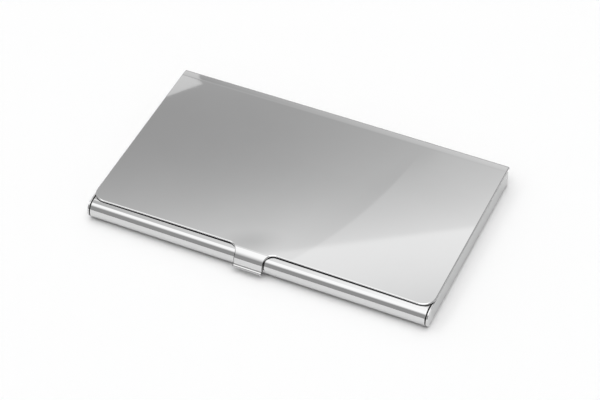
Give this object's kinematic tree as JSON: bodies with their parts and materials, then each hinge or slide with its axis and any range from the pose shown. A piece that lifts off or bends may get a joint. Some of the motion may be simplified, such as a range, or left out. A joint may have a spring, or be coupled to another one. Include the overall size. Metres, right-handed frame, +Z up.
{
  "type": "business card case",
  "caption": "Slim sheet-steel business card case with a hinged lid, a rolled open-backed front edge and a bent closing tab that hooks over the roll.",
  "frame": {"origin": "under the middle of the closed case's bounding box, on the surface that it lies on", "axes": "+X along the length, +Y towards the hinge at the back, -Y towards the roll and the closing tab, +Z up through the lid"},
  "size_m": [0.093, 0.0578, 0.006],
  "materials": {
    "satin_steel": "satin polished stainless steel sheet with a very fine grain along the length and bright rounded edges",
    "strip_steel": "plain mill-finish stainless strip, duller than the case",
    "pin_steel": "turned pin, ground flush with the side wall"
  },
  "bodies": {
    "base": {"base_shell": "satin_steel", "hinge_pin_left": "pin_steel", "hinge_pin_right": "pin_steel"},
    "lid": {"lid": "satin_steel", "hinge_strip": "strip_steel"}
  },
  "joints": [
    {"name": "lid_hinge", "type": "hinge", "parent": "base", "child": "lid", "pos_m": [0, 0.02663, 0.00343], "axis": [-1, 0, 0], "range_deg": [0, 100]}
  ]
}
